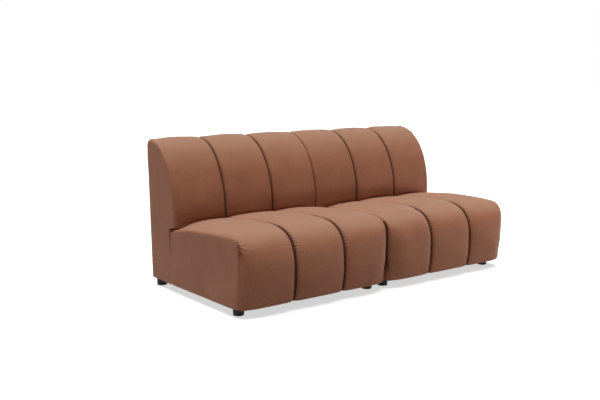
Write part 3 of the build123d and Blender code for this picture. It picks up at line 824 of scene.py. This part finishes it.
def smooth_mesh(name, points, faces):
    """A mesh of these points and faces, shaded smooth."""
    mesh = bpy.data.meshes.new(name)
    mesh.from_pydata(points.reshape(-1, 3).tolist(), [], faces)
    mesh.polygons.foreach_set("use_smooth", np.ones(len(mesh.polygons), dtype=bool))
    return mesh


def skin_mesh(name, stack, painted_shades):
    """One closed mesh: the stacked grid wrapped round, and one flat face in each side panel. It
    carries the painted shade of its seams and creases, and how far it faces up, for a painted
    highlight."""
    count_u, count_v = stack.shape[:2]
    number = np.arange(count_u * count_v).reshape(count_u, count_v)
    faces = grid_faces(count_u, count_v).tolist()
    faces += [number[0, ::-1].tolist(), number[-1].tolist()]
    mesh = smooth_mesh(name, stack, faces)
    # The seam attribute carries painted shade, which the leather reads as a darker colour.
    painted_shade = mesh.attributes.new("seam", "FLOAT", "POINT")
    painted_shade.data.foreach_set("value", painted_shades.ravel().astype(np.float32))
    mesh.update()
    if signed_volume(mesh) < 0:
        mesh.flip_normals()
    # Painted highlight: how far each point faces up, which the leather reads as a paler tan.
    facing = np.empty(len(mesh.vertices) * 3)
    mesh.vertex_normals.foreach_get("vector", facing)
    painted_highlight = mesh.attributes.new("painted_highlight", "FLOAT", "POINT")
    painted_highlight.data.foreach_set("value", smooth_step(*HIGHLIGHT_FROM_TO, facing[2::3]).astype(np.float32))
    return mesh


# %% Simulate a seat and a back
moves = {}
for kind in ("seat", "back"):
    x, plain = plain_skin(kind)
    moves[kind] = swelling(plain, x, WEIGHTS[kind]["free"], CLOTH_SLACK[kind])
    way = 1000 * np.linalg.norm(moves[kind], axis=2)
    print(kind, f"moved by up to {way.max():.1f} mm, mean {way.mean():.2f} mm")

# %% Covers
COVER_SEEDS = {
    ("left", "seat"): 11, ("left", "back"): 12,
    ("right", "seat"): 21, ("right", "back"): 22,
}
covers = {}
for (side, kind), seed in COVER_SEEDS.items():
    stack, painted_shades = sewn_skin(kind, moves[kind], side == "right", seed)
    name = f"{side}_{kind}_upholstery"
    mesh = skin_mesh(name, stack + np.array([MODULE_X[side], 0, 0]), painted_shades)
    cover = placed(name, mesh)
    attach(cover, f"{side}_module")
    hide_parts(f"{side}_{kind}_cover")
    covers[name] = cover
    print(name, len(mesh.polygons), "faces, volume", round(signed_volume(mesh), 4))

# %% [markdown]
# ## Dust cloths
# Under each module a thin black cloth is stapled along the bottom of the frame. It is level where
# it is held, along its border and over the feet, and hangs a few millimetres in the middle. A grid
# with a smooth sag gives that, and it lies in the slit between the covers' base and the feet.

# %% Stretched cloths below
CLOTH_POINTS = 61
CLOTH_SAG = 0.006
CLOTH_SLIT = 0.00015


def sagging_grid(low, high):
    """Level grid over a box's floor plan, lowered by a depth times sin^2 along x and along y."""
    share = np.linspace(0, 1, CLOTH_POINTS)
    hang = np.sin(np.pi * share) ** 2
    wide = low.x + (high.x - low.x) * share
    deep = low.y + (high.y - low.y) * share
    x, y = np.meshgrid(wide, deep, indexing="ij")
    return np.stack([x, y, BASE_Z - CLOTH_SLIT - CLOTH_SAG * np.outer(hang, hang)], axis=2)


def open_faces(count):
    """Quads of a square grid with open borders, facing down."""
    number = np.arange(count * count).reshape(count, count)
    quad = (number[:-1, :-1], number[:-1, 1:], number[1:, 1:], number[1:, :-1])
    return np.stack(quad, axis=2).reshape(-1, 4)


dust_cloths = {}
for side in MODULE_X:
    low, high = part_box(f"{side}_dust_cover")
    name = f"{side}_dust_cloth"
    faces = open_faces(CLOTH_POINTS).tolist()
    cloth = placed(name, smooth_mesh(name, sagging_grid(low, high), faces))
    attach(cloth, f"{side}_module")
    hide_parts(f"{side}_dust_cover")
    dust_cloths[name] = cloth

# %% [markdown]
# ## Materials
# Every finish is built from a few small helpers: noise and cells on Object coordinates, ramps that
# turn them into colours, and bumps that turn them into relief. Scales are in waves per metre.


# %% Material helpers
def feed(tree, inputs, values):
    """Set each of these inputs to a number or colour, or link it to a socket."""
    for name, value in values.items():
        if isinstance(value, bpy.types.NodeSocket):
            tree.links.new(value, inputs[name])
        else:
            inputs[name].default_value = value


def new_node(tree, kind, values):
    """A shader node of this kind with its inputs fed."""
    node = tree.nodes.new("ShaderNode" + kind)
    feed(tree, node.inputs, values)
    return node


def new_material(name):
    """A node material with its Principled shader and an Object coordinate."""
    material = bpy.data.materials.new(name)
    material.use_nodes = True
    tree = material.node_tree
    place = new_node(tree, "TexCoord", {}).outputs["Object"]
    return material, tree, tree.nodes["Principled BSDF"], place


# %% Patterns, colours and relief
def stretched(tree, place, scale):
    """The coordinate stretched along the axes, for grain and fibres."""
    return new_node(tree, "Mapping", {"Vector": place, "Scale": scale}).outputs["Vector"]


def noise(tree, place, scale, detail=3.0, roughness=0.55):
    """Value of a noise at so many waves per metre."""
    values = {"Vector": place, "Scale": scale, "Detail": detail, "Roughness": roughness}
    return new_node(tree, "TexNoise", values).outputs["Fac"]


def cells(tree, place, scale):
    """Distance from the middle of small cells at so many cells per metre."""
    return new_node(tree, "TexVoronoi", {"Vector": place, "Scale": scale}).outputs["Distance"]


def ramp(tree, value, stops):
    """Colour ramp through (place, colour) stops."""
    node = new_node(tree, "ValToRGB", {"Fac": value})
    while len(node.color_ramp.elements) < len(stops):
        node.color_ramp.elements.new(0.5)
    for element, (at, colour) in zip(node.color_ramp.elements, stops):
        element.position = at
        element.color = (*colour, 1)
    return node.outputs["Color"]


def mixed(tree, share, first, second):
    """Mix of two colours by a share, each of which is a socket or a value."""
    node = tree.nodes.new("ShaderNodeMix")
    node.data_type = "RGBA"
    feed(tree, node.inputs, {0: share, 6: first, 7: second})
    return node.outputs[2]


def levels(tree, value, low, high):
    """Map a value from 0..1 to low..high."""
    values = {"Value": value, "To Min": low, "To Max": high}
    return new_node(tree, "MapRange", values).outputs["Result"]


def bump(tree, height, strength, distance, under=None):
    """Bump from a height; under is another bump that it lies on."""
    values = {"Height": height, "Strength": strength, "Distance": distance}
    if under is not None:
        values["Normal"] = under
    return new_node(tree, "Bump", values).outputs["Normal"]


def mesh_mark(tree, name):
    """Value of an attribute that the mesh carries."""
    node = tree.nodes.new("ShaderNodeAttribute")
    node.attribute_name = name
    return node.outputs["Fac"]


def wire(tree, shader, colour, roughness, relief):
    """Feed a shader its colour, roughness and relief."""
    feed(tree, shader.inputs, {"Base Color": colour, "Roughness": roughness, "Normal": relief})


# %% [markdown]
# ### Leather
# The covers are a soft, matt, finely grained leather. A broad noise lets the tan drift, a middle
# one mottles it, and cells as fine as pores make the relief. Two marks on the mesh paint light into
# it: a painted highlight where it faces up, and painted shade in its seams, creases and gaps.

# %% Tan leather
LEATHER_DEEP = (0.290, 0.111, 0.060)
LEATHER_TAN = (0.350, 0.141, 0.078)
LEATHER_PALE = (0.410, 0.173, 0.100)
# Painted highlight: the paler, less saturated tan given to tops that face the overhead lamp.
LEATHER_HIGHLIGHT = (0.390, 0.205, 0.130)
# Painted shade: the near black given to seams, pleat valleys, creases and gaps.
LEATHER_SHADE = (0.045, 0.014, 0.007)
LEATHER_ROUGHNESS = (0.52, 0.68)
MOTTLE_SHARE = 0.45
HIGHLIGHT_SHARE = 0.9
SHADE_SHARE = 0.9
SHEEN = 0.25
SHEEN_TINT = (1.0, 0.93, 0.86, 1)


def tan_leather():
    """Matt tan leather: drifting tone, mottling, pores, a painted highlight on tops and painted
    shade in seams.
    """
    material, tree, shader, place = new_material("tan_leather")
    tones = [(0.30, LEATHER_DEEP), (0.52, LEATHER_TAN), (0.74, LEATHER_PALE)]
    drift = ramp(tree, noise(tree, place, scale=5.0), tones)
    spots = [(0.30, LEATHER_DEEP), (0.70, LEATHER_PALE)]
    mottle = ramp(tree, noise(tree, place, scale=120.0, detail=4.0), spots)
    tone = mixed(tree, MOTTLE_SHARE, drift, mottle)
    # Painted highlight: tops that face up are mixed towards a paler tan.
    painted_highlight = levels(tree, mesh_mark(tree, "painted_highlight"), 0.0, HIGHLIGHT_SHARE)
    tone = mixed(tree, painted_highlight, tone, (*LEATHER_HIGHLIGHT, 1))
    # Painted shade: the seam attribute darkens the colour in seams, pleat valleys, creases and
    # gaps.
    seam = mesh_mark(tree, "seam")
    tone = mixed(tree, levels(tree, seam, 0.0, SHADE_SHARE), tone, (*LEATHER_SHADE, 1))
    gloss = levels(tree, noise(tree, place, scale=90.0), *LEATHER_ROUGHNESS)
    creases = bump(tree, noise(tree, place, scale=45.0), strength=0.25, distance=0.002)
    pits = cells(tree, place, scale=900.0)
    pores = bump(tree, pits, strength=0.3, distance=0.0004, under=creases)
    wire(tree, shader, tone, gloss, pores)
    shader.inputs["Specular IOR Level"].default_value = 0.1
    tree.links.new(levels(tree, seam, SHEEN, 0.0), shader.inputs["Sheen Weight"])
    shader.inputs["Sheen Roughness"].default_value = 0.35
    shader.inputs["Sheen Tint"].default_value = SHEEN_TINT
    return material


leather = tan_leather()
for cover in covers.values():
    cover.data.materials.append(leather)
print("leather on", len(covers), "covers")

# %% [markdown]
# ### Frame, padding and fittings
# Most of these are hidden by the covers, but each keeps the look of its stuff: grain along plywood,
# open cells in foam, fibres in felt and cloth, a weave in the webbing, spangled zinc, oiled and
# painted steel, and the faint texture of moulded feet. Three functions serve what is speckled,
# fibrous or of steel; webbing and feet have their own.


# %% Speckled, fibrous and woven finishes
def speckled(name, dark, pale, scale, rough, relief):
    """A matt stuff mottled from dark to pale by fine noise, with cells of that size as relief."""
    material, tree, shader, place = new_material(name)
    mottle = noise(tree, place, scale, detail=5.0, roughness=0.7)
    tone = ramp(tree, mottle, [(0.32, dark), (0.68, pale)])
    gloss = levels(tree, noise(tree, place, scale / 2), *rough)
    pits = bump(tree, cells(tree, place, scale), strength=0.6, distance=relief)
    wire(tree, shader, tone, gloss, pits)
    return material


def fibrous(name, dark, pale, fibres, rough, relief):
    """A stuff with long grain or fibres: noise stretched along one axis colours and roughens it."""
    material, tree, shader, place = new_material(name)
    grain = noise(tree, stretched(tree, place, fibres), scale=1.0, detail=6.0, roughness=0.65)
    tone = ramp(tree, grain, [(0.30, dark), (0.70, pale)])
    ridges = bump(tree, grain, strength=0.4, distance=relief)
    wire(tree, shader, tone, levels(tree, grain, *rough), ridges)
    return material


def banded(tree, place, scale, direction):
    """Waves of parallel bands at so many turns per metre."""
    node = new_node(tree, "TexWave", {"Vector": place, "Scale": scale, "Distortion": 0.6})
    node.bands_direction = direction
    return node.outputs["Fac"]


def woven_webbing():
    """Black elastic webbing: warp bands along the strap crossed by finer weft."""
    material, tree, shader, place = new_material("webbing")
    warp = banded(tree, place, 95.0, "Z")
    weft = banded(tree, place, 130.0, "X")
    warp_tone = ramp(tree, warp, [(0.2, (0.012, 0.011, 0.010)), (0.8, (0.045, 0.042, 0.038))])
    weft_tone = ramp(tree, weft, [(0.2, (0.015, 0.014, 0.013)), (0.8, (0.060, 0.055, 0.050))])
    gloss = levels(tree, noise(tree, place, scale=200.0), 0.75, 0.9)
    ridges = bump(tree, warp, strength=0.5, distance=0.0005)
    weave = bump(tree, weft, strength=0.5, distance=0.0004, under=ridges)
    wire(tree, shader, mixed(tree, 0.5, warp_tone, weft_tone), gloss, weave)
    return material


# %% Metals and moulded feet
def metal(name, dark, pale, metallic, grain, rough, relief):
    """Plated, oiled or painted steel: cells of tone like spangles or drops, rougher in places."""
    material, tree, shader, place = new_material(name)
    tone = ramp(tree, cells(tree, place, grain), [(0.15, dark), (0.75, pale)])
    gloss = levels(tree, noise(tree, place, grain), *rough)
    ripple = bump(tree, noise(tree, place, grain * 3), strength=0.2, distance=relief)
    wire(tree, shader, tone, gloss, ripple)
    shader.inputs["Metallic"].default_value = metallic
    return material


def moulded_black():
    """Satin black plastic of the feet: spark texture, faint grey scuffs and uneven gloss."""
    material, tree, shader, place = new_material("foot_plastic")
    scuffs = noise(tree, place, scale=70.0, detail=6.0, roughness=0.7)
    tone = ramp(tree, scuffs, [(0.45, (0.010, 0.010, 0.011)), (0.80, (0.030, 0.029, 0.028))])
    gloss = levels(tree, noise(tree, place, scale=40.0), 0.36, 0.52)
    sparks = bump(tree, noise(tree, place, scale=1500.0), strength=0.25, distance=0.0002)
    wire(tree, shader, tone, gloss, sparks)
    shader.inputs["Specular IOR Level"].default_value = 0.2
    return material


# %% Give every node its finish
FINISHES = {
    "plywood": fibrous(
        "plywood", dark=(0.36, 0.22, 0.11), pale=(0.58, 0.41, 0.24),
        fibres=(9.0, 160.0, 160.0), rough=(0.55, 0.75), relief=0.0006,
    ),
    "hardboard": speckled(
        "hardboard", dark=(0.10, 0.055, 0.030), pale=(0.20, 0.115, 0.065),
        scale=260.0, rough=(0.6, 0.8), relief=0.0004,
    ),
    "foam": speckled(
        "foam", dark=(0.66, 0.58, 0.34), pale=(0.82, 0.75, 0.50),
        scale=420.0, rough=(0.85, 0.95), relief=0.0012,
    ),
    "felt": fibrous(
        "felt", dark=(0.16, 0.16, 0.155), pale=(0.36, 0.36, 0.35),
        fibres=(60.0, 240.0, 240.0), rough=(0.85, 0.95), relief=0.0010,
    ),
    "webbing": woven_webbing(),
    "dust_cloth": fibrous(
        "dust_cloth", dark=(0.006, 0.006, 0.007), pale=(0.022, 0.022, 0.024),
        fibres=(90.0, 420.0, 420.0), rough=(0.8, 0.92), relief=0.0003,
    ),
    "spring_steel": metal(
        "spring_steel", dark=(0.020, 0.020, 0.022), pale=(0.075, 0.072, 0.070),
        metallic=0.9, grain=140.0, rough=(0.35, 0.5), relief=0.0002,
    ),
    "zinc_steel": metal(
        "zinc_steel", dark=(0.42, 0.42, 0.40), pale=(0.66, 0.66, 0.63),
        metallic=1.0, grain=220.0, rough=(0.28, 0.42), relief=0.0001,
    ),
    "link_steel": metal(
        "link_steel", dark=(0.008, 0.008, 0.008), pale=(0.026, 0.026, 0.026),
        metallic=0.0, grain=400.0, rough=(0.38, 0.5), relief=0.0002,
    ),
    "foot_plastic": moulded_black(),
}
for row in frame["record"]["subparts"]:
    if row["material_slot"] in FINISHES:
        nodes[row["node"]].material_slots[0].material = FINISHES[row["material_slot"]]
for cloth in dust_cloths.values():
    cloth.data.materials.append(FINISHES["dust_cloth"])

# %% [markdown]
# ## Floor and light
# The sofa stands on a plain white floor under one wide soft lamp overhead and a weak surround. Tops
# catch the lamp, and fronts and sides get what the floor sends back. Two weak lamps help: one at
# the left, and a long low one at the front right, whose light the seat keeps from the lower back,
# which falls into shade. Seen directly, floor and surround are lifted to white, and the shadow
# stays.

# %% Floor
FLOOR_HALF = 40.0
FLOOR_GLOW = 0.60
FLOOR_WHITE = (0.8, 0.8, 0.8, 1)
FLOOR_BOUNCE = (0.38, 0.38, 0.38, 1)


def seen_directly(tree):
    """1 for rays from the camera or off a mirror or through glass, else 0."""
    rays = new_node(tree, "LightPath", {}).outputs
    value = rays["Is Camera Ray"]
    for kind in ("Is Glossy Ray", "Is Transmission Ray"):
        node = tree.nodes.new("ShaderNodeMath")
        node.operation = "MAXIMUM"
        feed(tree, node.inputs, {0: value, 1: rays[kind]})
        value = node.outputs[0]
    return value


def show(tree, lit, seen, output):
    """Show one shader where it is seen directly, and let another one light the scene."""
    choose = new_node(tree, "MixShader", {0: seen_directly(tree), 1: lit, 2: seen})
    tree.links.new(choose.outputs[0], tree.nodes[output].inputs["Surface"])


def pale_floor():
    """White floor that keeps the sofa's shadow; seen directly it is lifted towards white."""
    material, tree, shader, _ = new_material("pale_floor")
    feed(tree, shader.inputs, {"Base Color": FLOOR_WHITE, "Roughness": 0.9})
    bounce = new_node(tree, "BsdfDiffuse", {"Color": FLOOR_BOUNCE})
    glow = new_node(tree, "Emission", {"Strength": FLOOR_GLOW})
    both = new_node(tree, "AddShader", {0: shader.outputs[0], 1: glow.outputs[0]})
    show(tree, bounce.outputs[0], both.outputs[0], "Material Output")
    return material


corners = [(-1, -1, 0), (1, -1, 0), (1, 1, 0), (-1, 1, 0)]
floor_mesh = bpy.data.meshes.new("floor")
floor_mesh.from_pydata((FLOOR_HALF * np.array(corners)).tolist(), [], [(0, 1, 2, 3)])
floor_mesh.materials.append(pale_floor())
floor = placed("floor", floor_mesh)
floor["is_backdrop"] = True
print("floor", 2 * FLOOR_HALF, "m wide")

# %% Lamps and surround
WHITE = (1, 1, 1, 1)
SURROUND_LIGHT = 0.04
LAMP_STRENGTH = 3.25
LAMP_SPREAD = math.radians(48)
LAMP_TILT = math.radians(6)
LAMP_SIDE = math.radians(80)
FILL_WIDTH = 2.0
FILLS = {
    "front_right": dict(place=(2.2, -2.4, 0.17), aim=(0.6, -0.45, 0.2), power=20.0, height=0.25),
    "left": dict(place=(-4.0, 0.2, 0.9), aim=(-0.9, 0.1, 0.35), power=8.0, height=1.6),
}

lamp_data = bpy.data.lights.new("overhead", "SUN")
lamp_data.energy = LAMP_STRENGTH
lamp_data.angle = LAMP_SPREAD
lamp = placed("overhead", lamp_data)
lamp.rotation_euler = (LAMP_TILT, 0, -LAMP_SIDE)

for name, sizes in FILLS.items():
    fill_data = bpy.data.lights.new(name, "AREA")
    fill_data.energy = sizes["power"]
    fill_data.shape = "RECTANGLE"
    fill_data.size = FILL_WIDTH
    fill_data.size_y = sizes["height"]
    fill = placed(name, fill_data)
    fill.location = sizes["place"]
    direction = Vector(sizes["aim"]) - Vector(sizes["place"])
    fill.rotation_euler = direction.to_track_quat("-Z", "Y").to_euler()

world = bpy.data.worlds.new("surround")
bpy.context.scene.world = world
world.use_nodes = True
tree = world.node_tree
light = tree.nodes["Background"]
feed(tree, light.inputs, {"Color": WHITE, "Strength": SURROUND_LIGHT})
white = new_node(tree, "Background", {"Color": WHITE})
show(tree, light.outputs[0], white.outputs[0], "World Output")
bpy.context.scene.view_settings.view_transform = "Standard"
print("lamps", 1 + len(FILLS))

# %% Size of everything shown
low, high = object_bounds()
print("visual box", rounded((*low, *high)))
